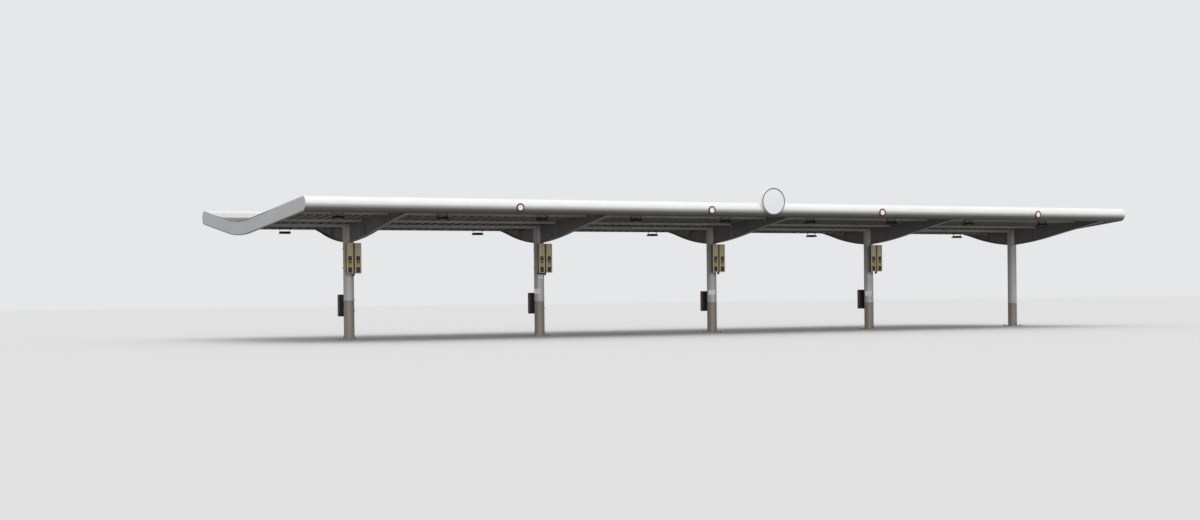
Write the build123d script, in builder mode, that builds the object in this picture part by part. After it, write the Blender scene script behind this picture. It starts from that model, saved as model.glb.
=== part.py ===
from build123d import *
from math import atan2, cos, degrees, hypot, radians, sin
import os

# Filling station canopy: five round columns in a row carry plate girder arms, a sheeted
# butterfly roof with a valley behind the columns, and a bullnose fascia all along it.
# Millimetres. X runs along the canopy, the front is at -Y, and Z is up.
# The origin is the centre of the middle column's foot.

# Layout
BAY = 8400
COLUMNS = 5
LEFT_OVERHANG = 4000
RIGHT_OVERHANG = 1150

# Columns
COLUMN_R = 210
COLUMN_WALL = 12
COLUMN_TOP = 4460
CAP_T = 20
BASE_SIDE = 660
BASE_T = 30
BASE_BOLT_EDGE = 60
BASE_HOLE_R = 16
BASE_CORNER = 40
GUSSET_H = 160
GUSSET_T = 14
GUSSET_EDGE = 45

# Roof band: the outline of the end fascia and the bullnose, above the column tops
HALF_WIDTH = 6400
NOSE_R = 280
NOSE_RISE = 590
VALLEY_Y = 1500
VALLEY_DIP = 680
VALLEY_ARC_R = 12000
SKIN_T = 4
END_T = 40
UPSTAND_INSET = 1050
RETURN_INSET = 350

# Sheeted deck and its gutter
EAVES_INSET = 800
DECK_LIFT = 40
DECK_FALL = 400
DECK_DEPTH = 40
DECK_T = 2
RIB_PITCH = 365
RIB_TOP_SHARE = 0.4
RIB_SLOPE_SHARE = 0.12
GUTTER_W = 320
GUTTER_DROP = 40
GUTTER_T = 3

# Arms: the bottom flange's middle line leaves the column below its top with a small rise,
# and meets the knee at a reach from the column's axis and a drop below the column top
WEB_T = 16
FLANGE_T = 16
FLANGE_W = 200
TIP_PLATE_T = 15
STIFFENER_T = 12
ARM_ROOT_DROP = 590
KNEE_REACH = 2700
FRONT_KNEE_DROP = 280
REAR_KNEE_DROP = 170
FRONT_TIP_DROP = 315
REAR_TIP_DROP = 80
ARM_ROOT_RISE = 0.06

# Longitudinal steel
SPINE_W = 150
SPINE_WALL = 8
INNER_PURLIN_Y = 1750
OUTER_PURLIN_Y = 4500
PURLIN_H = 90
PURLIN_W = 60
PURLIN_WEB = 6
PURLIN_FLANGE = 8
EAVES_BEAM_W = 100
EAVES_BEAM_H = 145
EAVES_BEAM_DROP = 100
EAVES_BEAM_WALL = 6
FORMER_T = 8
FORMER_SIDES = 16
FORMERS_PER_BAY = 3

# Fittings
LAMP_W = 400
LAMP_D = 300
LAMP_H = 75
LAMP_EDGE_H = 30
LAMP_TOP_D = 190
LAMP_CLEARANCE = 10
LAMP_DROP = 245
VALLEY_LAMP_DROP = 215
LAMP_LEG_W = 45
LAMP_LEG_T = 6
LAMP_RIM = 18
LAMP_RECESS = 8
SIGNAL_TOP_GAP = 50
SIGNAL_H = 1200
SIGNAL_W = 270
SIGNAL_GAP = 70
SIGNAL_D = 110
SIGNAL_STANDOFF = 290
SIGNAL_BACK_T = 20
BRACKET_SIDE = 50
BRACKET_INSET = 220
STRAP_W = 120
STRAP_H = 60
BOX_W = 600
BOX_H = 870
BOX_D = 200
BOX_Z = 930
BOX_STANDOFF = 60
BOX_EDGE = 18
SIGN_R = 540
SIGN_T = 120
SIGN_X = -1000
SIGN_RISE = 330
SIGN_RIB_T = 12
SIGN_RIB_X = 200
SIGN_RIB_RISE = 550
SIGN_RIB_TOE = 60
SEAT_GAP = 0.3

# Worked out from the sizes above
COLUMN_X = [(i - (COLUMNS - 1) / 2) * BAY for i in range(COLUMNS)]
LEFT_X = COLUMN_X[0] - LEFT_OVERHANG
RIGHT_X = COLUMN_X[-1] + RIGHT_OVERHANG
INNER_LEFT_X = LEFT_X + END_T
INNER_RIGHT_X = RIGHT_X - END_T
INNER_LENGTH = INNER_RIGHT_X - INNER_LEFT_X
NOSE_Y = HALF_WIDTH - NOSE_R
NOSE_Z = COLUMN_TOP + NOSE_RISE
EAVES_Y = HALF_WIDTH - EAVES_INSET
BEAM_FACE_Y = EAVES_Y + EAVES_BEAM_W
UPSTAND_Y = HALF_WIDTH - UPSTAND_INSET
RETURN_Y = HALF_WIDTH - RETURN_INSET
DECK_VALLEY_Z = COLUMN_TOP + DECK_LIFT
DECK_EAVES_Z = DECK_VALLEY_Z + DECK_FALL
GUTTER_FRONT_Y = VALLEY_Y - GUTTER_W / 2
GUTTER_REAR_Y = VALLEY_Y + GUTTER_W / 2
GUTTER_Z = DECK_VALLEY_Z - GUTTER_DROP
FRONT_SLOPE = DECK_FALL / (GUTTER_FRONT_Y + EAVES_Y)
REAR_SLOPE = DECK_FALL / (EAVES_Y - GUTTER_REAR_Y)
EAVES_BEAM_Z = DECK_EAVES_Z - EAVES_BEAM_DROP
PURLIN_LINES = (INNER_PURLIN_Y, OUTER_PURLIN_Y)
LAMP_Y = OUTER_PURLIN_Y + PURLIN_W / 2 + LAMP_CLEARANCE + LAMP_LEG_W / 2
BASE_BOLTS = BASE_SIDE - 2 * BASE_BOLT_EDGE
STEEL_R = COLUMN_R + SEAT_GAP
ARM_START = COLUMN_R / 2
ARM_ROOT_Z = COLUMN_TOP - ARM_ROOT_DROP
FRONT_TIP = (NOSE_Y, NOSE_Z - FRONT_TIP_DROP)
REAR_TIP = (EAVES_Y, EAVES_BEAM_Z - REAR_TIP_DROP)
SIGNAL_Z = ARM_ROOT_Z - SIGNAL_TOP_GAP - SIGNAL_H
SIGNAL_Y = COLUMN_R + SIGNAL_STANDOFF
BOX_Y = COLUMN_R + BOX_STANDOFF
SIGN_Z = NOSE_Z + SIGN_RISE


def deck_underside(y):
    """Height of the sheeting's underside at a distance y across the roof."""
    if y < GUTTER_FRONT_Y:
        return DECK_VALLEY_Z + FRONT_SLOPE * (GUTTER_FRONT_Y - y)
    if y > GUTTER_REAR_Y:
        return DECK_VALLEY_Z + REAR_SLOPE * (y - GUTTER_REAR_Y)
    return GUTTER_Z


def band_fall(side):
    """Slope of the roof band's middle line, from the nose's centre down to the valley."""
    return VALLEY_DIP / (NOSE_Y - side * VALLEY_Y)


def skin_underside(side, distance):
    """Height of the bullnose cladding's straight lower edge at a distance across the roof."""
    fall = band_fall(side)
    return NOSE_Z - fall * (NOSE_Y - distance) - NOSE_R * hypot(1, fall)


def save(piece, name, x=0):
    """Move a finished piece to its place along the row, label it and write it to its own file."""
    placed = piece.moved(Location((x, 0, 0)))
    placed.label = name
    export_step(placed, f"parts/{name}.step")


def band_face(half_depth):
    """The roof band's outline, half_depth to each side of its middle line, drawn as (y, z)."""
    valley = (VALLEY_Y, NOSE_Z - VALLEY_DIP)
    with BuildSketch() as band:
        with BuildLine() as middle:
            FilletPolyline((-NOSE_Y, NOSE_Z), valley, (NOSE_Y, NOSE_Z), radius=VALLEY_ARC_R)
        trace(middle.line, line_width=2 * half_depth)
        with Locations((-NOSE_Y, NOSE_Z), (NOSE_Y, NOSE_Z)):
            Circle(half_depth)
    return band.sketch


def build_column():
    """Round tube on a stiffened base plate, closed by a cap under the spine beam."""
    with BuildPart() as column:
        with BuildSketch() as foot:
            Rectangle(BASE_SIDE, BASE_SIDE)
            chamfer(foot.vertices(), BASE_CORNER)
            with GridLocations(BASE_BOLTS, BASE_BOLTS, 2, 2):
                Circle(BASE_HOLE_R, mode=Mode.SUBTRACT)
        extrude(amount=BASE_T)
        with BuildSketch(Plane.XY.offset(BASE_T)) as ring:
            Circle(COLUMN_R)
            Circle(COLUMN_R - COLUMN_WALL, mode=Mode.SUBTRACT)
        extrude(amount=COLUMN_TOP - BASE_T)
        with BuildSketch(Plane.XY.offset(COLUMN_TOP - CAP_T)) as cap:
            Circle(COLUMN_R - COLUMN_WALL / 2)
        extrude(amount=CAP_T)
        reach = BASE_SIDE / 2 - GUSSET_EDGE
        root = COLUMN_R - COLUMN_WALL / 2
        for angle in range(0, 360, 90):
            upright = Plane(origin=(0, 0, BASE_T), x_dir=(cos(radians(angle)), sin(radians(angle)), 0),
                            z_dir=(sin(radians(angle)), -cos(radians(angle)), 0))
            with BuildSketch(upright) as gusset:
                with BuildLine():
                    Polyline((root, 0), (reach, 0), (reach, GUSSET_H / 4), (root, GUSSET_H), close=True)
                make_face()
            extrude(amount=GUSSET_T / 2, both=True)
    return column.part


def build_arm(side, knee_drop, tip):
    """Plate girder arm: a web on a flange of two arcs, with a tip plate and two stiffeners.

    side is -1 for the front, where the arm runs on under the bullnose, and 1 for the rear.
    tip is the end of the flange's middle line, as (distance, height).
    """
    reach, tip_z = tip
    knee = (side * KNEE_REACH, COLUMN_TOP - knee_drop)
    with BuildPart() as arm:
        with BuildSketch(Plane.YZ) as web:
            with BuildLine():
                inner = TangentArc((side * ARM_START, ARM_ROOT_Z), knee, tangent=(side, ARM_ROOT_RISE))
                outer = TangentArc(inner @ 1, (side * reach, tip_z), tangent=inner % 1)
                if side > 0:
                    top = Polyline(
                        outer @ 1,
                        (EAVES_Y, DECK_EAVES_Z),
                        (GUTTER_REAR_Y, DECK_VALLEY_Z),
                        (GUTTER_REAR_Y, GUTTER_Z),
                        (GUTTER_FRONT_Y, GUTTER_Z),
                        (GUTTER_FRONT_Y, DECK_VALLEY_Z),
                        (ARM_START, deck_underside(ARM_START)),
                    )
                else:
                    top = Polyline(
                        outer @ 1,
                        (-reach, skin_underside(side, reach) - SEAT_GAP),
                        (-RETURN_Y, skin_underside(side, RETURN_Y) - SEAT_GAP),
                        (-BEAM_FACE_Y, EAVES_BEAM_Z),
                        (-EAVES_Y, EAVES_BEAM_Z),
                        (-EAVES_Y, DECK_EAVES_Z),
                        (-ARM_START, deck_underside(-ARM_START)),
                    )
                Line(top @ 1, inner @ 0)
            make_face()
        extrude(amount=WEB_T / 2, both=True)
        with BuildSketch(Plane.YZ.offset(-FLANGE_W / 2)) as flange:
            trace([inner, outer], line_width=FLANGE_T)
        extrude(amount=FLANGE_W)
        plates = [(EAVES_Y - TIP_PLATE_T / 2, TIP_PLATE_T, DECK_EAVES_Z)]
        for distance in PURLIN_LINES:
            plates.append((distance, STIFFENER_T, purlin_bottom(side, distance)))
        for middle, thickness, plate_top in plates:
            with BuildSketch(Plane.YZ.offset(-FLANGE_W / 2)) as plate:
                add(web.sketch_local)
                with Locations((side * middle, 0)):
                    Rectangle(thickness, 2 * plate_top, mode=Mode.INTERSECT)
            extrude(amount=FLANGE_W)
        split(bisect_by=Plane(origin=(0, side * reach, 0), z_dir=(0, side, 0)), keep=Keep.BOTTOM)
        Cylinder(STEEL_R, DECK_EAVES_Z, align=(Align.CENTER, Align.CENTER, Align.MIN), mode=Mode.SUBTRACT)
    return arm.part


def purlin_bottom(side, distance):
    """Underside of a purlin, whose top touches the sheeting along its inner edge."""
    inner_edge = side * (distance - PURLIN_W / 2)
    return deck_underside(inner_edge) - PURLIN_H


def build_purlins(side):
    """Two lines of I-section purlins, cut between the arm webs and run on to both ends."""
    stops = [INNER_LEFT_X]
    for x in COLUMN_X:
        stops += [x - WEB_T / 2, x + WEB_T / 2]
    stops.append(INNER_RIGHT_X)
    with BuildPart() as purlins:
        for left, right in zip(stops[::2], stops[1::2]):
            with BuildSketch(Plane.YZ.offset(left)) as sections:
                for distance in PURLIN_LINES:
                    with Locations((side * distance, purlin_bottom(side, distance) + PURLIN_H / 2)):
                        Rectangle(PURLIN_WEB, PURLIN_H)
                        with GridLocations(0, PURLIN_H - PURLIN_FLANGE, 1, 2):
                            Rectangle(PURLIN_W, PURLIN_FLANGE)
            extrude(amount=right - left)
    return purlins.part


def build_deck(front):
    """Trapezoidal steel sheeting with its ribs running down to the valley gutter."""
    if front:
        outer_y, inner_y, slope = -EAVES_Y, GUTTER_FRONT_Y, FRONT_SLOPE
    else:
        outer_y, inner_y, slope = EAVES_Y, GUTTER_REAR_Y, REAR_SLOPE
    run = abs(outer_y - inner_y)
    ribs = round(INNER_LENGTH / RIB_PITCH)
    pitch = INNER_LENGTH / ribs
    top = pitch * RIB_TOP_SHARE
    flank = pitch * RIB_SLOPE_SHARE
    low = pitch - top - 2 * flank
    outline = [(0, 0)]
    for i in range(ribs):
        left = i * pitch
        outline += [
            (left + low / 2, 0),
            (left + low / 2 + flank, DECK_DEPTH - DECK_T),
            (left + low / 2 + flank + top, DECK_DEPTH - DECK_T),
            (left + low / 2 + 2 * flank + top, 0),
        ]
    outline.append((INNER_LENGTH, 0))
    above = [(px, pz + DECK_T) for px, pz in reversed(outline)]
    # The sketch stands square to the slope's foot, and is pushed along the slope.
    direction = -1 if front else 1
    along = Vector(0, direction, slope).normalized()
    with BuildPart() as deck:
        with BuildSketch(Plane(origin=(INNER_LEFT_X, inner_y, DECK_VALLEY_Z), x_dir=(1, 0, 0),
                               z_dir=(0, -1, 0))) as sheet:
            with BuildLine():
                Polyline(*outline, *above, close=True)
            make_face()
        extrude(amount=hypot(run, run * slope), dir=along)
    return deck.part


def build_gutter():
    """Folded valley gutter on the arm tops, with the sheeting butting its walls."""
    height = GUTTER_DROP + DECK_DEPTH
    with BuildPart() as gutter:
        with BuildSketch(Plane.YZ.offset(INNER_LEFT_X)) as section:
            with Locations((VALLEY_Y, GUTTER_Z)):
                Rectangle(GUTTER_W, height, align=(Align.CENTER, Align.MIN))
            with Locations((VALLEY_Y, GUTTER_Z + GUTTER_T)):
                Rectangle(GUTTER_W - 2 * GUTTER_T, height, align=(Align.CENTER, Align.MIN),
                          mode=Mode.SUBTRACT)
        extrude(amount=INNER_LENGTH)
    return gutter.part


def build_spine():
    """Box beam over the column caps, touching the sheeting along its rear edge."""
    height = deck_underside(SPINE_W / 2) - COLUMN_TOP
    with BuildPart() as spine:
        with BuildSketch(Plane.YZ.offset(INNER_LEFT_X)) as section:
            with Locations((0, COLUMN_TOP + height / 2)):
                Rectangle(SPINE_W, height)
                Rectangle(SPINE_W - 2 * SPINE_WALL, height - 2 * SPINE_WALL, mode=Mode.SUBTRACT)
        extrude(amount=INNER_LENGTH)
    return spine.part


def build_eaves_beam(side):
    """Box beam bolted to the arm tips, carrying the nose formers."""
    middle = (side * (EAVES_Y + BEAM_FACE_Y) / 2, EAVES_BEAM_Z + EAVES_BEAM_H / 2)
    with BuildPart() as beam:
        with BuildSketch(Plane.YZ.offset(INNER_LEFT_X)) as section:
            with Locations(middle):
                Rectangle(EAVES_BEAM_W, EAVES_BEAM_H)
                Rectangle(EAVES_BEAM_W - 2 * EAVES_BEAM_WALL, EAVES_BEAM_H - 2 * EAVES_BEAM_WALL,
                          mode=Mode.SUBTRACT)
        extrude(amount=INNER_LENGTH)
    return beam.part


def former_stations():
    """Places of the nose formers along the roof, clear of the two ends."""
    step = BAY / FORMERS_PER_BAY
    first = INNER_LEFT_X + step / 4
    count = int((INNER_LENGTH - step / 2) / step) + 1
    return [first + i * (INNER_LENGTH - step / 2) / (count - 1) for i in range(count)]


def build_formers(side):
    """Many-sided plates on the eaves beam whose corners carry the bullnose cladding.

    Their lower edge runs straight from the beam's foot to the edge of the cladding's return.
    """
    corner_r = NOSE_R - SKIN_T - SEAT_GAP
    flat_r = corner_r * cos(radians(180 / FORMER_SIDES))
    tilt = side * degrees(atan2(band_fall(side), 1))
    with BuildPart() as former:
        with BuildSketch(Plane.YZ) as plate:
            with Locations(Location((side * NOSE_Y, NOSE_Z, 0), (0, 0, tilt))):
                RegularPolygon(corner_r, FORMER_SIDES, rotation=180 / FORMER_SIDES)
                Rectangle(2 * EAVES_INSET, 2 * flat_r,
                          align=(Align.MIN if side < 0 else Align.MAX, Align.CENTER))
            with Locations((side * (BEAM_FACE_Y + HALF_WIDTH) / 2, NOSE_Z)):
                Rectangle(HALF_WIDTH - BEAM_FACE_Y, 4 * NOSE_R, mode=Mode.INTERSECT)
            with BuildLine():
                Polyline(
                    (side * BEAM_FACE_Y, EAVES_BEAM_Z),
                    (side * RETURN_Y, skin_underside(side, RETURN_Y)),
                    (side * BEAM_FACE_Y, skin_underside(side, RETURN_Y) - NOSE_R),
                    close=True,
                )
            make_face(mode=Mode.SUBTRACT)
        extrude(amount=FORMER_T)
    with BuildPart() as formers:
        with Locations(*[(x, 0, 0) for x in former_stations()]):
            add(former.part)
    return formers.part


def build_fascia(side):
    """Bullnose cladding with a top skin, an inner upstand and a bottom return."""
    crest = deck_underside(side * (UPSTAND_Y + SKIN_T)) + DECK_DEPTH + SEAT_GAP
    skin_top = NOSE_Z + NOSE_R
    with BuildPart() as fascia:
        with BuildSketch(Plane.YZ) as section:
            add(band_face(NOSE_R))
            add(band_face(NOSE_R - SKIN_T), mode=Mode.SUBTRACT)
            with Locations((side * UPSTAND_Y, 0)):
                Rectangle(HALF_WIDTH - UPSTAND_Y, 2 * skin_top,
                          align=(Align.MAX if side < 0 else Align.MIN, Align.CENTER), mode=Mode.INTERSECT)
            with Locations((side * RETURN_Y, NOSE_Z - NOSE_R)):
                Rectangle(RETURN_Y - UPSTAND_Y, NOSE_R,
                          align=(Align.MIN if side < 0 else Align.MAX, Align.CENTER), mode=Mode.SUBTRACT)
        extrude(amount=INNER_LENGTH)
        with BuildSketch(Plane.YZ) as upstand:
            add(band_face(NOSE_R))
            with Locations((side * UPSTAND_Y, crest)):
                Rectangle(SKIN_T, skin_top - crest,
                          align=(Align.MAX if side < 0 else Align.MIN, Align.MIN), mode=Mode.INTERSECT)
        extrude(amount=INNER_LENGTH)
    return fascia.part


def build_end_fascia():
    """Flat end panel with the roof band's outline."""
    with BuildPart() as panel:
        with BuildSketch(Plane.YZ) as outline:
            add(band_face(NOSE_R))
        extrude(amount=END_T)
    return panel.part


def hang_lamps(frames, drop):
    """Flat floodlights, each held between the legs of a bent strap under the roof.

    Z of a frame is the roof's normal, and drop is the height of the whole fitting.
    """
    leg = drop - LAMP_H / 2
    bottom = Plane.XY.offset(-drop)
    with BuildPart() as lamp:
        with BuildSketch(Plane.YZ) as strap:
            Rectangle(LAMP_LEG_W, leg, align=(Align.CENTER, Align.MAX))
        extrude(amount=LAMP_W / 2 + LAMP_LEG_T, both=True)
        with BuildSketch(Plane.YZ) as between:
            with Locations((0, -LAMP_LEG_T)):
                Rectangle(LAMP_LEG_W, leg, align=(Align.CENTER, Align.MAX))
        extrude(amount=LAMP_W / 2, both=True, mode=Mode.SUBTRACT)
        with BuildSketch(Plane.YZ) as housing:
            with BuildLine():
                Polyline((-LAMP_D / 2, -drop), (LAMP_D / 2, -drop), (LAMP_D / 2, LAMP_EDGE_H - drop),
                         (LAMP_TOP_D / 2, LAMP_H - drop), (-LAMP_TOP_D / 2, LAMP_H - drop),
                         (-LAMP_D / 2, LAMP_EDGE_H - drop), close=True)
            make_face()
        extrude(amount=LAMP_W / 2, both=True)
        with BuildSketch(bottom) as lens:
            Rectangle(LAMP_W - 2 * LAMP_RIM, LAMP_D - 2 * LAMP_RIM)
        extrude(amount=LAMP_RECESS, mode=Mode.SUBTRACT)
    with BuildPart() as lamps:
        with Locations(*frames):
            add(lamp.part)
    return lamps.part


def deck_lamp_frames(side):
    """Floodlight places under the sheeting, a quarter bay to each side of the columns."""
    tilt = degrees(atan2(-FRONT_SLOPE if side < 0 else REAR_SLOPE, 1))
    places = sorted(x + shift * BAY / 4 for x in COLUMN_X for shift in (-1, 1))
    return [Location((x, side * LAMP_Y, deck_underside(side * LAMP_Y)), (tilt, 0, 0))
            for x in places if x < INNER_RIGHT_X]


def build_signal():
    """Two lane signal boxes side by side on a back plate, held off the column's front."""
    width = 2 * SIGNAL_W + SIGNAL_GAP
    with BuildPart() as signal:
        with BuildSketch(Plane.XZ.offset(SIGNAL_Y)) as back:
            with Locations((0, SIGNAL_Z + SIGNAL_H / 2)):
                Rectangle(width, SIGNAL_H)
        extrude(amount=SIGNAL_BACK_T)
        with BuildSketch(Plane.XZ.offset(SIGNAL_Y + SIGNAL_BACK_T)) as boxes:
            with Locations((0, SIGNAL_Z + SIGNAL_H / 2)):
                with GridLocations(SIGNAL_W + SIGNAL_GAP, 0, 2, 1):
                    Rectangle(SIGNAL_W, SIGNAL_H)
        extrude(amount=SIGNAL_D)
        with BuildSketch(Plane.XZ) as tubes:
            with Locations((0, SIGNAL_Z + SIGNAL_H / 2)):
                with GridLocations(0, SIGNAL_H - 2 * BRACKET_INSET, 1, 2):
                    Rectangle(BRACKET_SIDE, BRACKET_SIDE)
        extrude(amount=SIGNAL_Y)
        Cylinder(STEEL_R, COLUMN_TOP, align=(Align.CENTER, Align.CENTER, Align.MIN), mode=Mode.SUBTRACT)
    return signal.part


def build_service_box():
    """Service box with trimmed corners, strapped to the back of the column."""
    with BuildPart() as box:
        with BuildSketch(Plane.XZ.offset(-BOX_Y - BOX_D)) as outline:
            with Locations((0, BOX_Z + BOX_H / 2)):
                Rectangle(BOX_W, BOX_H)
            chamfer(outline.vertices(), BOX_EDGE)
        extrude(amount=BOX_D)
        with BuildSketch(Plane.XZ.offset(-BOX_Y)) as straps:
            with Locations((0, BOX_Z + BOX_H / 2)):
                with GridLocations(0, BOX_H - 2 * BRACKET_INSET, 1, 2):
                    Rectangle(STRAP_W, STRAP_H)
        extrude(amount=BOX_Y)
        Cylinder(STEEL_R, COLUMN_TOP, align=(Align.CENTER, Align.CENTER, Align.MIN), mode=Mode.SUBTRACT)
    return box.part


def build_round_sign():
    """Plain round sign drum against the bullnose, on two ribs that sit on its top."""
    back_y = HALF_WIDTH + SEAT_GAP
    with BuildPart() as sign:
        with BuildSketch(Plane.XZ.offset(back_y)) as disc:
            with Locations((SIGN_X, SIGN_Z)):
                Circle(SIGN_R)
        extrude(amount=SIGN_T)
        for shift in (-SIGN_RIB_X, SIGN_RIB_X):
            with BuildSketch(Plane.YZ.offset(SIGN_X + shift)) as rib:
                with BuildLine():
                    Polyline((-back_y, NOSE_Z), (-back_y, NOSE_Z + SIGN_RIB_RISE),
                             (-NOSE_Y, NOSE_Z + NOSE_R + SIGN_RIB_TOE), (-NOSE_Y, NOSE_Z), close=True)
                make_face()
                with Locations((-NOSE_Y, NOSE_Z)):
                    Circle(NOSE_R + SEAT_GAP, mode=Mode.SUBTRACT)
            extrude(amount=SIGN_RIB_T / 2, both=True)
    return sign.part


os.makedirs("parts", exist_ok=True)
column = build_column()
front_arm = build_arm(-1, FRONT_KNEE_DROP, FRONT_TIP)
rear_arm = build_arm(1, REAR_KNEE_DROP, REAR_TIP)
for number, column_x in enumerate(COLUMN_X, start=1):
    save(column, f"column_{number}", column_x)
    save(front_arm, f"front_arm_{number}", column_x)
    save(rear_arm, f"rear_arm_{number}", column_x)
save(build_spine(), "spine_beam")
save(build_purlins(-1), "front_purlins")
save(build_purlins(1), "rear_purlins")
save(build_eaves_beam(-1), "front_eaves_beam")
save(build_eaves_beam(1), "rear_eaves_beam")
save(build_deck(True), "front_deck")
save(build_deck(False), "rear_deck")
save(build_gutter(), "valley_gutter")
save(build_fascia(-1), "front_fascia", INNER_LEFT_X)
save(build_fascia(1), "rear_fascia", INNER_LEFT_X)
end_fascia = build_end_fascia()
save(end_fascia, "left_end_fascia", LEFT_X)
save(end_fascia, "right_end_fascia", INNER_RIGHT_X)
save(build_formers(-1), "front_nose_formers")
save(build_formers(1), "rear_nose_formers")
save(hang_lamps(deck_lamp_frames(-1), LAMP_DROP), "front_floodlights")
save(hang_lamps(deck_lamp_frames(1), LAMP_DROP), "rear_floodlights")
valley_frames = [Location((x - BAY / 4, VALLEY_Y, GUTTER_Z)) for x in COLUMN_X]
save(hang_lamps(valley_frames, VALLEY_LAMP_DROP), "valley_floodlights")
signal = build_signal()
service_box = build_service_box()
for number, column_x in enumerate(COLUMN_X[:-1], start=1):
    save(signal, f"lane_signal_{number}", column_x)
    save(service_box, f"service_box_{number}", column_x)
save(build_round_sign(), "round_sign")
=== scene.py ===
"""Finishes, fixings, lamps, signals and signs of a filling station canopy.

Lengths are in metres, in the part's own frame: X runs along the row of columns,
the front is at -Y, Z is up, and the origin is the middle column's foot.
"""
from math import atan2, cos, pi, sin, tan

import bmesh
import bpy
import numpy as np
from mathutils import Matrix, Vector


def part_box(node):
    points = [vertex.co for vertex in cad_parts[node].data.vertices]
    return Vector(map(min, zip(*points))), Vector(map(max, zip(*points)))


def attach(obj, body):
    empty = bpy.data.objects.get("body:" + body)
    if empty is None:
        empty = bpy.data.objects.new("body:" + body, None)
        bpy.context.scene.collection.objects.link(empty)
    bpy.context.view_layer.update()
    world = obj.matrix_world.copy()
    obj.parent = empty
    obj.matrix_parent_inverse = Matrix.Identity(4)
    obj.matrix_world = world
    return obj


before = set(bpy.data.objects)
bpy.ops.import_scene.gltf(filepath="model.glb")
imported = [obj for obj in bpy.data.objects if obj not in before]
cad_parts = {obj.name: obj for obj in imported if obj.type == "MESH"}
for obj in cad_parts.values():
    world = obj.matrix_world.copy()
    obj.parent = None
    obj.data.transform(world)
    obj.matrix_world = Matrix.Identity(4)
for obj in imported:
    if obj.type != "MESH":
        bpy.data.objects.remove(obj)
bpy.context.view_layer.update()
BODY = "root"

# Roof band, as in the fascias' outline
HALF_WIDTH = 6.4
NOSE_R = 0.28
NOSE_Z = 5.05
NOSE_Y = HALF_WIDTH - NOSE_R
NOSE_STEPS = 28
VALLEY_Y = 1.5
VALLEY_Z = 4.37
VALLEY_ARC_R = 12.0
ARC_STEPS = 24
UPSTAND_Y = 5.35
RETURN_Y = 6.05
END_T = 0.04
# The fascia's colour changes between these heights, from painted shade on the bullnose's lower half to white
# above
FASCIA_DARK_Z = NOSE_Z - NOSE_R * 0.55
FASCIA_BRIGHT_Z = NOSE_Z + NOSE_R * 0.12

# Sheeting and gutter
EAVES_Y = 5.6
DECK_EAVES_Z = 4.9
DECK_VALLEY_Z = 4.5
DECK_DEPTH = 0.04
DECK_T = 0.002
DECK_INNER_Y = {-1: 1.34, 1: 1.66}
RIB_PITCH = 0.365
GUTTER_Z = 4.46
GUTTER_TOP_Z = 4.54
GUTTER_T = 0.003

# Steelwork
PURLIN_LINES = (1.75, 4.5)
PURLIN_H = 0.09
PURLIN_HALF_W = 0.03
PURLIN_WEB_HALF_T = 0.003
EAVES_BEAM_Z = 4.8
WEB_HALF_T = 0.008
WEB_FOOT_Z = 3.90
FLANGE_HALF_W = 0.1
FLANGE_WELDS_Z = (3.872, 3.893)
TIP_PLATE_Y = 5.585
SPINE_HALF_W = 0.075
COLUMN_TOP = 4.46
WELD_R = 0.006
FLANGE_WELD_R = 0.005

# Columns, and the ends of the roof
COLUMN_R = 0.21
BASE_T = 0.03
ANCHOR_HALF = 0.27
PAINT_BAND_Z = 1.33
PAINT_BAND_BLUR = 0.004
BAND_FALL = 0.0139
COLUMN_X = [sum(c.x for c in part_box(f"column_{i}")) / 2 for i in range(1, 6)]
FITTED_X = COLUMN_X[:4]
BAY = COLUMN_X[1] - COLUMN_X[0]
LEFT_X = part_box("left_end_fascia")[0].x
RIGHT_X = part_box("right_end_fascia")[1].x
DECK_ENDS = (LEFT_X + END_T, RIGHT_X - END_T)

# Floodlights
LAMP_W = 0.4
LAMP_D = 0.3
LAMP_H = 0.075
LAMP_Y = 4.5625
LAMP_DROP = 0.245
VALLEY_LAMP_DROP = 0.215
LAMP_LEG_T = 0.006
LAMP_RIM = 0.018

# Lane signals; the spans and places go up the face from its middle
SIGNAL_HALF_W = 0.135
SIGNAL_HALF_H = 0.6
SIGNAL_SHIFT = 0.17
SIGNAL_Z = 3.22
SIGNAL_BACK_Y = -0.52
SIGNAL_FACE_Y = -0.63
SIGNAL_CLAMP_RISE = 0.38
LENS_BLOCK_SPAN = (-0.16, 0.08)
LENS_BLOCK_TOP = 0.018
LENS_PLACE = {"upper": 0.020, "lower": -0.100}
BAR_SPAN = (-0.205, -0.168)
LABEL_SPAN = (-0.325, -0.215)
LOWER_BLOCK_SPAN = (-0.57, -0.35)

# Service boxes
BOX_HALF_W = 0.3
BOX_HALF_H = 0.435
BOX_Z = 1.365
BOX_FRONT_Y = 0.27
BOX_FACE_Y = 0.47
BOX_CLAMP_RISE = 0.215

# Signs, plates and the reader
SIGN_X = -1.0
SIGN_Z = 5.38
SIGN_R = 0.54
SIGN_FACE_Y = -6.5203
RING_SIGN_X = (-12.31, -3.86, 4.48, 12.88)
RING_SIGN_Z = 5.0
RING_SIGN_R = 0.162
RING_SIGN_Y = -6.425
RING_BRACKET_ROOT_Y = -6.37
RING_W = 0.055
PLATE_HALF_W = 0.15
PLATE_HALF_H = 0.11
PLATE_T = 0.002
PLATE_Z = 1.74
PLATE_LEAN_TURN = {1: (0.06, -0.76), 2: (0.0, -0.54), 3: (0.0, -0.7)}
READER_X = COLUMN_X[1] - 0.05
READER_Z = 2.46

# The photograph's camera
FRAME_W = 1200
FOCAL_PX = 1919.7
HORIZON_DROP_PX = 49
SENSOR_W = 36.0
CAMERA_HEADING = 0.4894
CAMERA_RISE = 0.0125
CAMERA_AT = (-43.754, -71.745, 1.561)

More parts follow.
